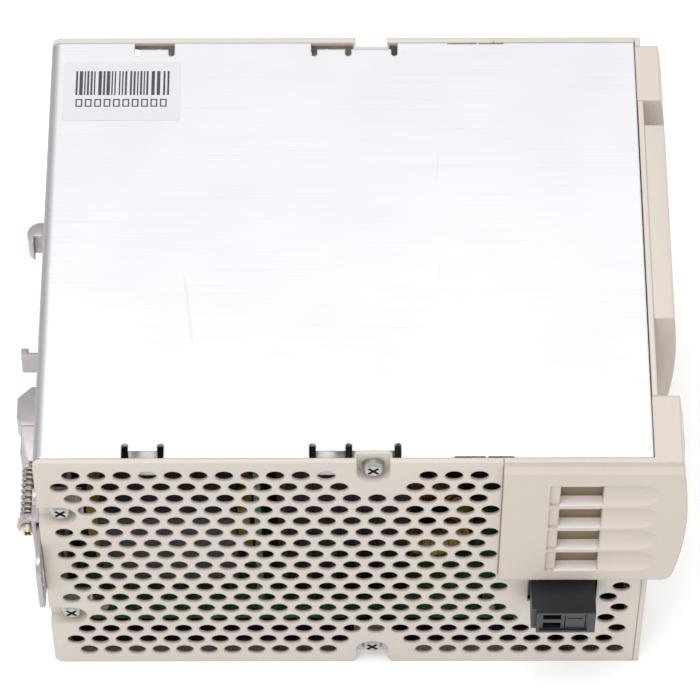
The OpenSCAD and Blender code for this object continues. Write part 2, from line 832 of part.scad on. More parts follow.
module bridge_rectifier() {
    color(black) block(-30, -10, 33, 37, deck_z + 5, deck_z + 22);
    color(steel) for (x = [-27, -22, -18, -13]) block(x - 0.5, x + 0.5, 34.6, 35.4, deck_z, deck_z + 5);
}

module choke_core(x, y, ring_r) {
    translate([x, y, deck_z + 6]) rotate_extrude() translate([ring_r, 0]) circle(r = 3.2, $fn = 24);
}

module choke_winding(x, y, ring_r) {
    translate([x, y, deck_z + 6]) for (a = [20, 200]) rotate([0, 0, a])
        rotate_extrude(angle = 140) translate([ring_r, 0]) difference() {
            circle(r = 4.7, $fn = 24);
            circle(r = 3.3, $fn = 24);
        }
    for (s = [-1, 1]) translate([x + s * ring_r, y, deck_z]) cylinder(r = 0.6, h = 1.6);
}

module filter_choke_core() {
    color([0.16, 0.16, 0.17]) choke_core(8, 32, 9);
}

module filter_choke_winding() {
    color(copper) choke_winding(8, 32, 9);
}

module output_choke_core() {
    color([0.75, 0.68, 0.22]) choke_core(21, -28, 8);
}

module output_choke_winding() {
    color(copper) choke_winding(21, -28, 8);
}

module filter_capacitors() {
    color([0.85, 0.75, 0.20]) {
        block(25, 33, 20, 42, deck_z, deck_z + 17);
        block(2, 6, 12, 17, deck_z, deck_z + 9);
        block(10, 14, 10, 17, deck_z, deck_z + 9);
    }
}

module fuse() {
    color([0.80, 0.80, 0.78]) rod_y(14, 32, 38, deck_z + 5, 2.4);
    color(steel) for (y = [12, 31]) difference() {
        rod_y(y, y + 3, 38, deck_z + 5, 3);
        rod_y(max(y, 13.9), min(y + 3, 32.1), 38, deck_z + 5, 2.45);
    }
    color(steel) for (y = [12.4, 32.6]) block(37.5, 38.5, y, y + 1, deck_z, deck_z + 2.6);
}

module output_capacitors() {
    color([0.10, 0.22, 0.20]) for (p = [[17, -6], [27.5, -6], [37, -8], [17, 5]])
        translate([p[0], p[1], deck_z]) difference() {
            cylinder(r = 4.6, h = 25);
            translate([0, 0, 24.7]) cylinder(r = 3.8, h = 1);
        }
}

module relay() {
    color([0.90, 0.55, 0.15]) block(22, 34, 2, 12, deck_z, deck_z + 12);
}

chassis();
side_cover();
bottom_grille();
top_grille();
front_panel();
middle_cover();
input_cover();
output_cover();
label();
grille_screws();
side_screws();
rail_bracket();
rail_latch();
latch_spring();
latch_guide();
latch_screw();
bracket_screws();
signal_plug();
signal_header();
adjuster();
adjuster_body();
mode_switch();
switch_body();
status_lights();
output_block();
input_block();
terminal_contacts();
clamp_screw(output_poles[0]);  // output_screw_1
clamp_screw(output_poles[1]);  // output_screw_2
clamp_screw(output_poles[2]);  // output_screw_3
clamp_screw(output_poles[3]);  // output_screw_4
clamp_cage(output_poles[0]);  // output_clamp_1
clamp_cage(output_poles[1]);  // output_clamp_2
clamp_cage(output_poles[2]);  // output_clamp_3
clamp_cage(output_poles[3]);  // output_clamp_4
input_screw(0);  // input_screw_1
input_screw(1);  // input_screw_2
input_screw(2);  // input_screw_3
input_clamp(0);  // input_clamp_1
input_clamp(1);  // input_clamp_2
input_clamp(2);  // input_clamp_3
main_board();
front_board();
control_board();
standoffs();
board_screws();
bulk_capacitors();
transformer_core();
transformer_coil();
heatsinks();
power_semiconductors();
bridge_rectifier();
filter_choke_core();
filter_choke_winding();
output_choke_core();
output_choke_winding();
filter_capacitors();
fuse();
output_capacitors();
relay();
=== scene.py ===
import json
import math
import random

import bmesh
import bpy
from mathutils import Matrix, Vector


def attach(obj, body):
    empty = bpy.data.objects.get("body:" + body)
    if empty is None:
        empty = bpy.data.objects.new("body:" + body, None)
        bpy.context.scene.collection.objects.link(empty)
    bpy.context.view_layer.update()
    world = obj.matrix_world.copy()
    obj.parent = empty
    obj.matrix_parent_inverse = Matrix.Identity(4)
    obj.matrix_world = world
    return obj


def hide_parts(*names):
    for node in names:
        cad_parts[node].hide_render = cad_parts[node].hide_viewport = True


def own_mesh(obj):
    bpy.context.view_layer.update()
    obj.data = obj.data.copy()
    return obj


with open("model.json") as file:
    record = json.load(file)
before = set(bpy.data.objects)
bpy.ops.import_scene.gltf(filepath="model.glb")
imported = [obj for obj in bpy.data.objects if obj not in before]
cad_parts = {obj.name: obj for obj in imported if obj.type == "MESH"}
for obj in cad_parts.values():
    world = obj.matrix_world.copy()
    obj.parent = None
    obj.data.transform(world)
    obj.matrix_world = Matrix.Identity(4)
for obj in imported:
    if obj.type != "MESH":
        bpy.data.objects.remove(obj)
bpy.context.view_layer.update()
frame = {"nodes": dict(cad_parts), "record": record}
NODES = frame["nodes"]
BODY_OF = {n: b for b, ns in frame["record"]["behaviour"]["bodies"].items() for n in ns}
SLOT_OF = {s["node"]: s["material_slot"] for s in frame["record"]["subparts"]}
MM = 0.001
scene = bpy.context.scene
rng = random.Random(7)


def box_of(node):
    """Lowest and highest corner of a CAD node, in mm."""
    cos = [v.co for v in NODES[node].data.vertices]
    low = [round(min(c[i] for c in cos) / MM, 3) for i in range(3)]
    high = [round(max(c[i] for c in cos) / MM, 3) for i in range(3)]
    return low, high


# the folded housing: its rail side is at low X, its brushed face on top
CHASSIS_LOW, CHASSIS_HIGH = box_of("chassis")
BACK_X = CHASSIS_LOW[0]
TOP_Z = CHASSIS_HIGH[2]
# terminal covers: outer face, the wire mouths sunk into it and the flutes beyond them
FACE_Y = -box_of("output_cover")[0][1]
MOUTH_X0 = 50.5
MOUTH_X1 = 60.7
MOUTH_BACK_Y = FACE_Y - 3.1
MOUTH_TOP_Z = 90.0
FLUTE_X1 = 75.5


# ---------------------------------------------------------------- materials
class Mat:
    """A Principled material with short helpers for its node tree. Lengths are in mm."""

    def __init__(self, name, color, metallic=0.0, rough=0.5, **extra):
        self.name = name
        self.m = bpy.data.materials.new(name)
        self.m.use_nodes = True
        self.n = self.m.node_tree.nodes
        self.l = self.m.node_tree.links
        self.b = self.n["Principled BSDF"]
        self.color = color
        self.b.inputs["Base Color"].default_value = (*color, 1)
        self.b.inputs["Metallic"].default_value = metallic
        self.b.inputs["Roughness"].default_value = rough
        for k, v in extra.items():
            self.b.inputs[k.replace("_", " ")].default_value = v
        self.coord = self.n.new("ShaderNodeTexCoord")
        self.bumps = None

    def soft(self, radius):
        """Rounds the look of hard edges by radius."""
        bv = self.n.new("ShaderNodeBevel")
        bv.samples = 6
        bv.inputs["Radius"].default_value = radius * MM
        self.bumps = bv.outputs["Normal"]
        self.l.new(self.bumps, self.b.inputs["Normal"])
        return self

    def mapped(self, scale):
        mp = self.n.new("ShaderNodeMapping")
        mp.inputs["Scale"].default_value = scale
        self.l.new(self.coord.outputs["Object"], mp.inputs["Vector"])
        return mp.outputs["Vector"]

    def noise(self, scale, detail=3.0, rough=0.5, vec=(1, 1, 1)):
        t = self.n.new("ShaderNodeTexNoise")
        t.inputs["Scale"].default_value = scale
        t.inputs["Detail"].default_value = detail
        t.inputs["Roughness"].default_value = rough
        self.l.new(self.mapped(vec), t.inputs["Vector"])
        return t.outputs["Fac"]

    def cells(self, scale, feature):
        t = self.n.new("ShaderNodeTexVoronoi")
        t.feature = feature
        t.inputs["Scale"].default_value = scale
        self.l.new(self.mapped((1, 1, 1)), t.inputs["Vector"])
        return t.outputs["Distance"]

    def waves(self, scale, distortion, detail, detail_scale, vec):
        t = self.n.new("ShaderNodeTexWave")
        t.wave_profile = "SIN"
        t.inputs["Scale"].default_value = scale
        t.inputs["Distortion"].default_value = distortion
        t.inputs["Detail"].default_value = detail
        t.inputs["Detail Scale"].default_value = detail_scale
        self.l.new(self.mapped(vec), t.inputs["Vector"])
        return t.outputs["Fac"]

    def ramp(self, fac, lo, hi, a=0.0, b=1.0):
        r = self.n.new("ShaderNodeMapRange")
        r.inputs["From Min"].default_value = lo
        r.inputs["From Max"].default_value = hi
        r.inputs["To Min"].default_value = a
        r.inputs["To Max"].default_value = b
        self.l.new(fac, r.inputs["Value"])
        return r.outputs["Result"]

    def math(self, op, a, b):
        r = self.n.new("ShaderNodeMath")
        r.operation = op
        for i, v in enumerate((a, b)):
            if isinstance(v, (int, float)):
                r.inputs[i].default_value = v
            else:
                self.l.new(v, r.inputs[i])
        return r.outputs[0]

    def all_of(self, first, *others):
        """The product of several masks."""
        for other in others:
            first = self.math("MULTIPLY", first, other)
        return first

    def part_of(self, output, axis):
        sep = self.n.new("ShaderNodeSeparateXYZ")
        self.l.new(self.coord.outputs[output], sep.inputs[0])
        return sep.outputs[axis]

    def place(self, axis, lo, hi):
        """0 to 1 as the piece's own X, Y or Z goes from lo to hi; Y counts the same on both ends."""
        v = self.part_of("Object", axis)
        if axis == "Y":
            v = self.math("ABSOLUTE", v, 0.0)
        return self.ramp(v, lo * MM, hi * MM)

    def facing_up(self, lo, hi):
        """0 to 1 as the upward part of the normal goes from lo to hi."""
        return self.ramp(self.part_of("Normal", "Z"), lo, hi)

    def tint(self, fac, other):
        """Base colour runs from what feeds it to other as fac goes 0 to 1."""
        mix = self.n.new("ShaderNodeMix")
        mix.data_type = "RGBA"
        self.l.new(fac, mix.inputs["Factor"])
        sock = self.b.inputs["Base Color"]
        if sock.is_linked:
            self.l.new(sock.links[0].from_socket, mix.inputs["A"])
        else:
            mix.inputs["A"].default_value = (*self.color, 1)
        mix.inputs["B"].default_value = (*other, 1)
        self.l.new(mix.outputs["Result"], sock)
        return self

    def roughness(self, fac, a, b):
        self.l.new(self.ramp(fac, 0.0, 1.0, a, b), self.b.inputs["Roughness"])
        return self

    def bump(self, height, distance):
        bp = self.n.new("ShaderNodeBump")
        bp.inputs["Strength"].default_value = 1.0
        bp.inputs["Distance"].default_value = distance * MM
        self.l.new(height, bp.inputs["Height"])
        if self.bumps is not None:
            self.l.new(self.bumps, bp.inputs["Normal"])
        self.bumps = bp.outputs["Normal"]
        self.l.new(self.bumps, self.b.inputs["Normal"])
        return self


def mul(c, k):
    return tuple(min(1.0, x * k) for x in c)


def brushed(name, color, rough, along, fine, depth, soft):
    """Metal with fine lines running along one axis, broken up by soft clouds."""
    m = Mat(name, color, 1.0, rough).soft(soft)
    stretch = [1.0, 1.0, 1.0]
    stretch[along] = 0.012
    lines = m.noise(fine, 2.0, 0.55, tuple(stretch))
    stretch[along] = 0.045
    coarse = m.noise(fine * 0.22, 2.0, 0.5, tuple(stretch))
    cloud = m.noise(26.0, 3.0)
    m.tint(m.ramp(lines, 0.32, 0.74, 0.0, 0.55), mul(color, 0.86))
    m.tint(m.ramp(cloud, 0.35, 0.75, 0.0, 0.30), mul(color, 0.93))
    worn = m.math("ADD", m.ramp(lines, 0.3, 0.7, 0.0, 0.6), m.ramp(cloud, 0.3, 0.7, 0.0, 0.4))
    m.roughness(worn, rough - 0.07, rough + 0.10)
    return m.bump(lines, depth).bump(coarse, depth * 0.8)


def side_plate():
    """Brushed sheet with a few fine curved scratches, and painted shade on the rail side, darkest along the
    fold.
    """
    c = (0.925, 0.918, 0.948)
    m = brushed("side_plate_aluminium", c, 0.34, 0, 4200.0, 0.005, 0.7)
    scratch = m.ramp(m.waves(5.0, 9.0, 1.5, 2.0, (1.0, 0.35, 1.0)), 0.9992, 0.9999)
    here = m.ramp(m.noise(30.0, 3.0), 0.56, 0.60)
    m.tint(m.all_of(scratch, here, 0.35), mul(c, 0.7))
    m.tint(m.ramp(m.noise(9.0, 4.0, 0.6), 0.52, 0.8, 0.0, 0.30), mul(c, 0.92))
    streak = m.noise(2600.0, 2.0, 0.6, (0.008, 1.0, 1.0))
    m.tint(m.ramp(streak, 0.52, 0.72, 0.0, 0.5), mul(c, 0.86))
    # painted shade: the rail side is darkened, and darker still along the fold near the top
    rail_side_shade = m.place("X", BACK_X + 2.4, BACK_X + 0.3)
    m.tint(rail_side_shade, (0.60, 0.588, 0.608))
    return m.tint(m.all_of(rail_side_shade, m.place("Z", TOP_Z - 8.0, TOP_Z - 2.5)), (0.31, 0.285, 0.31))


def painted(name, color, rough, grain, depth, soft):
    """Satin paint or textured moulding: fine grain, slight mottling and faint grime."""
    m = Mat(name, color, 0.0, rough, Specular_IOR_Level=0.42).soft(soft)
    g = m.noise(grain, 2.0, 0.6)
    broad = m.noise(38.0, 3.0)
    spots = m.noise(420.0, 2.0)
    m.tint(m.ramp(g, 0.3, 0.75, 0.0, 0.22), mul(color, 0.94))
    m.tint(m.ramp(broad, 0.35, 0.7, 0.0, 0.20), mul(color, 0.95))
    m.tint(m.ramp(spots, 0.66, 0.74, 0.0, 0.18), mul(color, 0.84))
    worn = m.math("ADD", m.ramp(g, 0.3, 0.7, 0.0, 0.6), m.ramp(broad, 0.3, 0.7, 0.0, 0.4))
    m.roughness(worn, rough - 0.06, rough + 0.09)
    return m.bump(g, depth).bump(m.noise(grain * 0.3, 2.0), depth)


def cover_plastic():
    """Moulded beige; painted brown shade at the rear of the wire mouths and painted light on their sills;
    painted light and shade on the flutes.
    """
    c = (0.565, 0.505, 0.44)
    m = painted("cover_plastic", c, 0.46, 1100.0, 0.018, 0.7)
    below = m.place("Z", MOUTH_TOP_Z + 0.2, MOUTH_TOP_Z)
    # painted shade: the rear walls of the wire mouths are darkened to a deep brown
    mouth_rear_shade = m.all_of(m.place("X", MOUTH_X0 - 0.6, MOUTH_X0 - 0.4),
                    m.place("X", MOUTH_X1 + 0.6, MOUTH_X1 + 0.4),
                    m.place("Y", MOUTH_BACK_Y + 0.5, MOUTH_BACK_Y + 0.2), below)
    m.tint(mouth_rear_shade, (0.21, 0.15, 0.09))
    # painted shade on the down-facing upper halves of the flutes, painted highlight on their up-facing
    # lower halves
    along = m.all_of(m.place("X", MOUTH_X1 - 0.1, MOUTH_X1 + 0.1), m.place("X", FLUTE_X1 + 2.0, FLUTE_X1))
    flute_light_and_shade = m.all_of(along, m.place("Y", FACE_Y - 0.02, FACE_Y - 0.15),
                     m.place("Z", MOUTH_TOP_Z + 1.0, MOUTH_TOP_Z + 0.7))
    m.tint(m.all_of(flute_light_and_shade, m.facing_up(-0.03, -0.34)), mul(c, 0.86))
    m.tint(m.all_of(flute_light_and_shade, m.facing_up(0.03, 0.34)), mul(c, 1.12))
    # painted light: the up-facing sills of the wire mouths are lightened
    lit_sill = m.all_of(m.place("X", MOUTH_X0 - 0.2, MOUTH_X0), m.place("X", MOUTH_X1 + 0.2, MOUTH_X1),
                    m.place("Y", MOUTH_BACK_Y + 0.05, MOUTH_BACK_Y + 0.2), below)
    return m.tint(m.all_of(lit_sill, m.facing_up(0.6, 0.8)), (0.92, 0.87, 0.84))


def plated(name, color, rough, spangle=1500.0):
    """Zinc or nickel plate: small soft cells, clouding and rubbed spots."""
    m = Mat(name, color, 1.0, rough)
    cell = m.cells(spangle, "F1")
    cloud = m.noise(120.0, 4.0, 0.6)
    m.tint(m.ramp(cell, 0.0, 0.7, 0.0, 0.3), mul(color, 0.84))
    m.tint(m.ramp(cloud, 0.4, 0.7, 0.0, 0.5), mul(color, 1.12))
    worn = m.math("ADD", m.ramp(cell, 0.0, 0.8, 0.0, 0.4), m.ramp(cloud, 0.3, 0.7, 0.0, 0.6))
    m.roughness(worn, rough - 0.08, rough + 0.12)
    return m.bump(cloud, 0.012).bump(m.noise(3200.0, 2.0), 0.004)


def moulded(name, color, rough, grain=1900.0, depth=0.008, lift=1.35, **extra):
    """Moulded plastic with a fine grain, flow marks and light scuffs."""
    m = Mat(name, color, 0.0, rough, **extra)
    g = m.noise(grain, 2.0, 0.6)
    flow = m.noise(60.0, 3.0)
    scuff = m.noise(300.0, 3.0, 0.7, (0.15, 1, 1))
    m.tint(m.ramp(flow, 0.35, 0.75, 0.0, 0.4), mul(color, lift))
    m.tint(m.ramp(scuff, 0.64, 0.78, 0.0, 0.3), mul(color, lift * 1.2))
    worn = m.math("ADD", m.ramp(g, 0.3, 0.7, 0.0, 0.5), m.ramp(scuff, 0.5, 0.8, 0.0, 0.5))
    m.roughness(worn, rough - 0.06, rough + 0.14)
    return m.bump(g, depth)


def board():
    """Solder mask with copper tracks showing as a slightly lighter, raised net."""
    m = Mat("board_laminate", (0.020, 0.115, 0.050), 0.0, 0.34)
    track = m.ramp(m.cells(210.0, "DISTANCE_TO_EDGE"), 0.05, 0.09, 1.0, 0.0)
    m.tint(track, (0.045, 0.20, 0.085))
    m.tint(m.ramp(m.noise(500.0), 0.62, 0.7, 0.0, 0.5), (0.10, 0.20, 0.12))
    m.roughness(m.noise(900.0), 0.26, 0.44)
    return m.bump(track, 0.03)


def film():
    """Printed label stock: faint lavender, with paper grain."""
    m = Mat("label_film", (0.605, 0.583, 0.622), 0.0, 0.5)
    m.tint(m.ramp(m.noise(3200.0, 2.0), 0.4, 0.7, 0.0, 0.3), (0.575, 0.555, 0.60))
    m.tint(m.ramp(m.noise(60.0), 0.4, 0.7, 0.0, 0.3), (0.63, 0.61, 0.65))
    m.roughness(m.noise(700.0), 0.42, 0.58)
    return m.bump(m.noise(2600.0), 0.004)


def print_ink():
    m = Mat("label_ink", (0.035, 0.035, 0.05), 0.0, 0.55)
    m.tint(m.ramp(m.noise(2400.0), 0.45, 0.75, 0.0, 0.6), (0.10, 0.10, 0.13))
    m.roughness(m.noise(1200.0), 0.45, 0.65)
    return m.bump(m.noise(2600.0), 0.004)


def wound(name, color):
    """Enamelled copper: bright where it is smooth, darker in patches."""
    m = Mat(name, color, 0.85, 0.28, Coat_Weight=0.5)
    m.tint(m.ramp(m.noise(700.0), 0.4, 0.7, 0.0, 0.6), mul(color, 0.62))
    m.roughness(m.noise(1400.0), 0.2, 0.42)
    return m.bump(m.noise(2500.0), 0.01)


def ceramic(name, color, rough):
    """Dull sintered material with fine speckle."""
    m = Mat(name, color, 0.0, rough)
    m.tint(m.ramp(m.noise(1600.0), 0.4, 0.7, 0.0, 0.5), mul(color, 1.5))
    m.roughness(m.noise(900.0), rough - 0.12, rough + 0.12)
    return m.bump(m.noise(2400.0), 0.02)


# by slot; Blender may add a number to a material's own name
LOOKS = {look.name: look.m for look in (
    side_plate(),
    painted("panel_paint", (0.585, 0.53, 0.47), 0.40, 1500.0, 0.010, 0.6),
    cover_plastic(),
    film(),
    plated("zinc_plate", (0.45, 0.41, 0.425), 0.38, 900.0),
    plated("screw_steel", (0.42, 0.43, 0.42), 0.22),
    plated("spring_steel", (0.36, 0.335, 0.32), 0.34),
    plated("brass_plate", (0.72, 0.64, 0.48), 0.30),
    plated("contact_copper", (0.80, 0.50, 0.32), 0.30),
    moulded("black_plastic", (0.0075, 0.009, 0.0135), 0.40),
    moulded("header_plastic", (0.035, 0.038, 0.042), 0.45),
    moulded("adjuster_plastic", (0.80, 0.79, 0.74), 0.40, lift=0.93),
    moulded("adjuster_body_plastic", (0.04, 0.10, 0.36), 0.40),
    moulded("light_pipe", (0.50, 0.74, 0.42), 0.16, depth=0.003, lift=1.1,
            Transmission_Weight=0.35, Coat_Weight=0.4),
    moulded("capacitor_sleeve", (0.030, 0.034, 0.060), 0.26, 900.0, 0.006, 1.3, Coat_Weight=0.3),
    moulded("winding_tape", (0.74, 0.46, 0.06), 0.34, 700.0, 0.02, 0.82),
    moulded("semiconductor_epoxy", (0.018, 0.018, 0.020), 0.52, 1300.0, 0.02),
    moulded("film_capacitor_case", (0.72, 0.56, 0.06), 0.38, 800.0, 0.01, 0.86),
    moulded("relay_case", (0.72, 0.30, 0.04), 0.36, 900.0, 0.008, 0.85),
    board(),
    ceramic("ferrite", (0.045, 0.045, 0.05), 0.7),
    ceramic("iron_powder", (0.62, 0.52, 0.08), 0.5),
    ceramic("fuse_tube", (0.70, 0.69, 0.64), 0.4),
    wound("winding_copper", (0.78, 0.36, 0.14)),
    brushed("heatsink_aluminium", (0.030, 0.030, 0.033), 0.42, 2, 2600.0, 0.02, 0.3),
)}
INK = print_ink().m

for name, obj in NODES.items():
    obj.data.materials.clear()
    obj.data.materials.append(LOOKS[SLOT_OF[name]])


# ---------------------------------------------------------------- shape helpers
def piece(name, mesh, body, slot, *replaced, material=None, smooth=35):
    """An object of the mesh that rides on a body, shaded smooth where faces meet under smooth degrees."""
    o = bpy.data.objects.new(name, mesh)
    scene.collection.objects.link(o)
    mesh.materials.clear()
    mesh.materials.append(material or LOOKS[slot])
    for p in mesh.polygons:
        p.use_smooth = True
        p.material_index = 0
    mesh.set_sharp_from_angle(angle=math.radians(smooth))
    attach(o, body)
    if replaced:
        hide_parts(*replaced)
    return o


def to_mesh(bm, name):
    m = bpy.data.meshes.new(name)
    bm.to_mesh(m)
    bm.free()
    return m


FLAT_WITHIN = 0.6
BEVEL_FROM = 32
BEVEL_STEPS = 2


def rounded(node, width):
    """A copy of a CAD node with its edges rounded, in place of the sharp one."""
    bm = bmesh.new()
    bm.from_mesh(NODES[node].data)
    bmesh.ops.remove_doubles(bm, verts=bm.verts, dist=1e-6)
    bmesh.ops.dissolve_limit(bm, angle_limit=math.radians(FLAT_WITHIN), verts=bm.verts, edges=bm.edges)
    bmesh.ops.dissolve_degenerate(bm, edges=bm.edges, dist=1e-7)
    tmp = bpy.data.objects.new("tmp", to_mesh(bm, node + "_soft"))
    scene.collection.objects.link(tmp)
    mod = tmp.modifiers.new("b", "BEVEL")
    mod.width = width * MM
    mod.segments = BEVEL_STEPS
    mod.limit_method = "ANGLE"
    mod.angle_limit = math.radians(BEVEL_FROM)
    mod.use_clamp_overlap = True
    mod.miter_outer = "MITER_ARC"
    dg = bpy.context.evaluated_depsgraph_get()
    out = bpy.data.meshes.new_from_object(tmp.evaluated_get(dg))
    bpy.data.objects.remove(tmp)
    piece(node + "_rounded", out, BODY_OF[node], SLOT_OF[node], node)


def tube(points, radius, sides):
    """A swept round wire through the points, all in mm."""
    bm = bmesh.new()
    points = [p * MM for p in points]
    radius = radius * MM
    turns = [2 * math.pi * k / sides for k in range(sides)]
    rings = []
    last = len(points) - 1
    up = Vector((0.13, 0.29, 0.95)).normalized()
    for i, p in enumerate(points):
        t = (points[min(i + 1, last)] - points[max(i - 1, 0)]).normalized()
        u = (up - t * up.dot(t)).normalized()
        w = t.cross(u)
        up = u
        rings.append([bm.verts.new(p + (u * math.cos(a) + w * math.sin(a)) * radius) for a in turns])
    for r, s in zip(rings, rings[1:]):
        for k in range(sides):
            bm.faces.new((r[k], r[(k + 1) % sides], s[(k + 1) % sides], s[k]))
    bm.faces.new(list(reversed(rings[0])))
    bm.faces.new(rings[-1])
    bmesh.ops.recalc_face_normals(bm, faces=bm.faces)
    return bm


def boxes(items, bevel=0.0):
    """Many small boxes, each (x0, x1, y0, y1, z0, z1) in mm, in one mesh."""
    bm = bmesh.new()
    for x0, x1, y0, y1, z0, z1 in items:
        c = Vector(((x0 + x1) / 2, (y0 + y1) / 2, (z0 + z1) / 2)) * MM
        s = Matrix.Diagonal(((x1 - x0) * MM, (y1 - y0) * MM, (z1 - z0) * MM, 1))
        bmesh.ops.create_cube(bm, size=1.0, matrix=Matrix.Translation(c) @ s)
    if bevel:
        bmesh.ops.bevel(bm, geom=list(bm.edges), offset=bevel * MM, segments=1, affect="EDGES", profile=0.5)
    return bm


CORNER_STEPS = 6


def rounded_sheet(x0, x1, y0, y1, z0, z1, r):
    """A flat sheet with corners of radius r, all in mm."""
    bm = bmesh.new()
    loop = []
    corners = ((x1 - r, y1 - r, 0), (x0 + r, y1 - r, 90), (x0 + r, y0 + r, 180), (x1 - r, y0 + r, 270))
    for cx, cy, a0 in corners:
        for k in range(CORNER_STEPS + 1):
            a = math.radians(a0 + 90 * k / CORNER_STEPS)
            loop.append((cx + r * math.cos(a), cy + r * math.sin(a)))
    low = [bm.verts.new((x * MM, y * MM, z0 * MM)) for x, y in loop]
    top = [bm.verts.new((x * MM, y * MM, z1 * MM)) for x, y in loop]
    bm.faces.new(list(reversed(low)))
    bm.faces.new(top)
    for i in range(len(loop)):
        j = (i + 1) % len(loop)
        bm.faces.new((low[i], low[j], top[j], top[i]))
    return bm


def merge(bms, name):
    out = bmesh.new()
    for b in bms:
        t = to_mesh(b, "t")
        out.from_mesh(t)
        bpy.data.meshes.remove(t)
    return to_mesh(out, name)


# ---------------------------------------------------------------- housing, covers and clip
ROUNDED = {
    "middle_cover": 0.6, "front_panel": 0.3, "rail_latch": 0.35, "rail_bracket": 0.25, "latch_guide": 0.25,
    "bottom_grille": 0.12, "top_grille": 0.12, "mode_switch": 0.15, "switch_body": 0.25, "adjuster": 0.15,
    "transformer_coil": 0.6, "transformer_core": 0.4,
}
for node, width in ROUNDED.items():
    rounded(node, width)


# ---------------------------------------------------------------- latch spring
COIL_TURNS = 10.0
COIL_R = 1.85
COIL_WIRE_R = 0.36
STEPS_PER_TURN = 28


def spring_path(foot, length):
    """Points of a helix from foot along Y, wound closer at both ends."""
    steps = int(COIL_TURNS * STEPS_PER_TURN)
    points = []
    for i in range(steps + 1):
        f = i / steps
        eased = 0.5 - 0.5 * math.cos(math.pi * f)
        y = COIL_WIRE_R + (length - 2 * COIL_WIRE_R) * (0.55 * f + 0.45 * eased)
        a = 2 * math.pi * COIL_TURNS * f
        points.append(foot + Vector((COIL_R * math.cos(a), y, COIL_R * math.sin(a))))
    return points


low, high = box_of("latch_spring")
coil_c = Vector(((low[0] + high[0]) / 2, low[1], (low[2] + high[2]) / 2))
wire = tube(spring_path(coil_c, high[1] - low[1]), COIL_WIRE_R, sides=10)
spring = piece("latch_spring_wire", to_mesh(wire, "spring"), "housing", "spring_steel", "latch_spring",
               smooth=60)
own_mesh(spring)


# ---------------------------------------------------------------- ring windings
BOARD_Z = box_of("main_board")[1][2]
LOOP_R = 4.0
LOOP_WIRE_R = 0.42
LOOP_PITCH = 0.95
COIL_ARC = 140
STEPS_PER_LOOP = 14


def ring_winding(choke, ring_r):
    """Two coils of one layer on the choke's flat ring, and a lead down to the board on each side."""
    low, high = box_of(choke + "_core")
    cx, cy, cz = ((a + b) / 2 for a, b in zip(low, high))
    # the loops crowd together on the inside of the ring, so that sets how many there are
    inside = 2 * math.pi * (ring_r - 3.3)
    loops = int(COIL_ARC / (360 * LOOP_PITCH / inside))
    steps = loops * STEPS_PER_LOOP
    parts = []
    for start in (20, 200):
        path = []
        for i in range(steps + 1):
            f = i / steps
            big = math.radians(start + COIL_ARC * f)
            small = 2 * math.pi * loops * f
            r = ring_r + LOOP_R * math.cos(small)
            z = cz + LOOP_R * math.sin(small)
            path.append(Vector((cx + r * math.cos(big), cy + r * math.sin(big), z)))
        parts.append(tube(path, LOOP_WIRE_R, sides=6))
    for side in (-1, 1):
        lead = ((ring_r, 0.0), (ring_r, 1.0), (ring_r + 0.3, 1.6))
        path = [Vector((cx + side * r, cy, BOARD_Z + z)) for r, z in lead]
        parts.append(tube(path, LOOP_WIRE_R, sides=8))
    node = choke + "_winding"
    piece(node + "_wire", merge(parts, node), "housing", "winding_copper", node, smooth=70)


ring_winding("filter_choke", 9)
ring_winding("output_choke", 8)

# ---------------------------------------------------------------- label
low, high = box_of("label")
film_top = low[2] + 0.13
sheet = rounded_sheet(low[0], high[0], low[1], high[1], low[2], film_top, 1.0)
piece("label_film", to_mesh(sheet, "film"), "housing", "label_film", "label")
ink_z = (film_top + 0.001, high[2])
marks = []
# bars of random widths that stand for no code
x = round(low[0] + 3.1, 3)
bars_x1 = round(high[0] - 2.8, 3)
while x < round(bars_x1 - 0.4, 3):
    w = rng.choice((0.35, 0.5, 0.5, 0.85))
    marks.append((x, min(x + w, bars_x1), low[1] + 7.7, low[1] + 15.1, *ink_z))
    x += w + rng.choice((0.35, 0.4, 0.5, 0.75))
# a row of plain open squares below the bars
SQUARE_W, SQUARE_PITCH, STROKE = 1.7, 2.32, 0.34
y0, y1 = low[1] + 4.1, low[1] + 6.5
for i in range(10):
    x0 = low[0] + 3.2 + SQUARE_PITCH * i
    x1 = x0 + SQUARE_W
    marks.append((x0, x1, y0, y0 + STROKE, *ink_z))
    marks.append((x0, x1, y1 - STROKE, y1, *ink_z))
    marks.append((x0, x0 + STROKE, y0 + STROKE, y1 - STROKE, *ink_z))
    marks.append((x1 - STROKE, x1, y0 + STROKE, y1 - STROKE, *ink_z))
piece("label_print", to_mesh(boxes(marks), "print"), "housing", "label_film", material=INK)

# ---------------------------------------------------------------- inside the housing
# black insulating sheet on the floor: half its length and width, then its under side and top
SHEET_X, SHEET_Y = 70.5, 57.5
SHEET_Z0, SHEET_Z1 = 1.6, 2.0
sheet = rounded_sheet(-SHEET_X, SHEET_X, -SHEET_Y, SHEET_Y, SHEET_Z0, SHEET_Z1, 3.0)
piece("insulating_sheet", to_mesh(sheet, "sheet"), "housing", "black_plastic")

# small parts soldered to the boards: length, width, height
CHIP_SIZES = ((2.0, 1.2, 0.6), (3.2, 1.6, 0.7), (5.0, 4.0, 1.6))
TINY_CHIP = (1.6, 0.8, 0.5)
CHIP_GAP = 3
# ground taken by the tall parts: middle in X and Y, half size in X and Y
TAKEN = (
    (-50, 20, 15, 31), (-44, -30, 21, 19), (-18, 5, 15, 15), (8, 32, 14, 14), (21, -28, 13, 13),
    (29, 31, 5, 12), (38, 23, 4, 12), (-20, 35, 11, 3), (24, -2, 18, 15), (-1, -46, 17, 7),
    (-17, 46, 17, 7), (5, 15, 3, 4), (-21.5, -34, 1, 19),
)


def is_free(x, y):
    return not any(abs(x - a) < r + CHIP_GAP and abs(y - b) < s + CHIP_GAP for a, b, r, s in TAKEN)


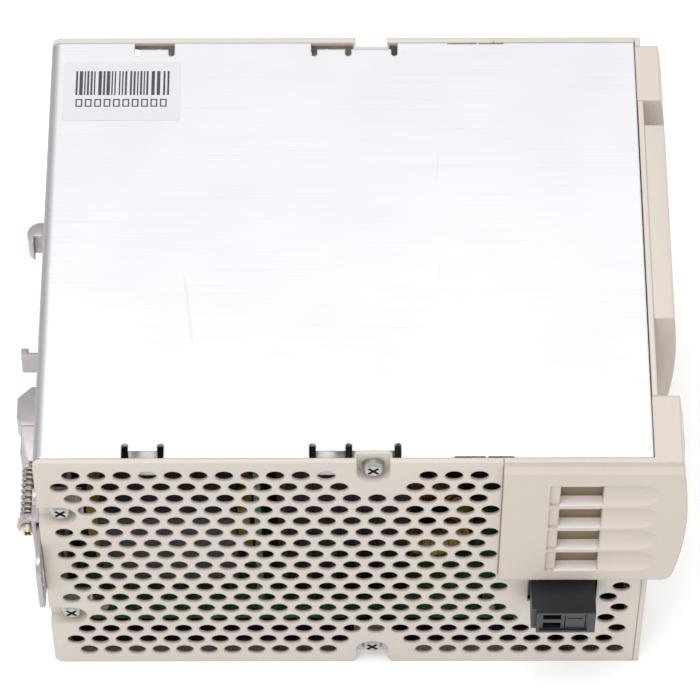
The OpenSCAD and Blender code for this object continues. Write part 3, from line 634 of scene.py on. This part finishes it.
def wall_chips(wall, count, y_range, z_range):
    """Chips at random places on the low X face of an upright board."""
    face_x = box_of(wall)[0][0]
    found = []
    for _ in range(count):
        y, z = rng.uniform(*y_range), rng.uniform(*z_range)
        l, w, h = rng.choice(CHIP_SIZES)
        found.append((face_x - h, face_x, y - l / 2, y + l / 2, z - w / 2, z + w / 2))
    return found


chips = []
for _ in range(46):
    x, y = rng.uniform(-64, 38), rng.uniform(-43, 43)
    l, w, h = rng.choice((*CHIP_SIZES, TINY_CHIP))
    if is_free(x, y):
        chips.append((x - l / 2, x + l / 2, y - w / 2, y + w / 2, BOARD_Z, BOARD_Z + h))
chips += wall_chips("front_board", 40, (-52, 52), (10, 88))
chips += wall_chips("control_board", 26, (-50, -18), (14, 82))
piece("board_chips", to_mesh(boxes(chips, 0.08), "chips"), "housing", "semiconductor_epoxy")


# ---------------------------------------------------------------- studio
def floor_material():
    m = Mat("studio_floor", (0.92, 0.92, 0.92), 0.0, 0.9)
    m.b.inputs["Emission Color"].default_value = (1.0, 1.0, 1.0, 1)
    m.b.inputs["Emission Strength"].default_value = 0.13
    return m.tint(m.ramp(m.noise(6.0), 0.4, 0.7, 0.0, 0.3), (0.905, 0.905, 0.905))


def area(name, loc, size, power, color=(1, 1, 1)):
    """A soft rectangular light aimed at the middle of the part, in metres."""
    d = bpy.data.lights.new(name, "AREA")
    d.shape = "RECTANGLE"
    d.size, d.size_y = size
    d.energy = power
    d.color = color
    o = bpy.data.objects.new(name, d)
    scene.collection.objects.link(o)
    o.location = loc
    o.rotation_mode = "QUATERNION"
    o.rotation_quaternion = (Vector((0, 0, 0.05)) - Vector(loc)).to_track_quat("-Z", "Y")


grid = bmesh.new()
just_below = Matrix.Translation((0, 0, -0.0001))
bmesh.ops.create_grid(grid, x_segments=8, y_segments=8, size=6.0, matrix=just_below)
floor = bpy.data.objects.new("studio_floor", to_mesh(grid, "floor"))
scene.collection.objects.link(floor)
floor.data.materials.append(floor_material().m)

world = bpy.data.worlds.new("studio")
scene.world = world
world.use_nodes = True
background = world.node_tree.nodes["Background"]
background.inputs["Color"].default_value = (1.0, 1.0, 1.0, 1)
background.inputs["Strength"].default_value = 0.90

area("key", (-0.30, -0.30, 1.30), (0.7, 0.7), 6.2)
area("top", (0.1, 0.05, 1.35), (0.7, 0.5), 3.2, (0.86, 0.92, 1.0))

# the camera stands off the low Y side and looks down on the brushed face; place in mm, angles in degrees
CAMERA_AT = Vector((0.909, -568.095, 913.863))
LOOK_DOWN = 56.7313
ROLL = -0.0978
cam = bpy.data.objects.new("camera", bpy.data.cameras.new("camera"))
scene.collection.objects.link(cam)
scene.camera = cam
cam.data.sensor_width = 36.0
cam.data.lens = 211.98
cam.data.clip_start, cam.data.clip_end = 0.05, 20.0
tilt = Matrix.Rotation(math.radians(90 - LOOK_DOWN), 4, "X")
cam.matrix_world = Matrix.Translation(CAMERA_AT * MM) @ tilt @ Matrix.Rotation(math.radians(ROLL), 4, "Z")
scene.view_settings.view_transform = "Standard"
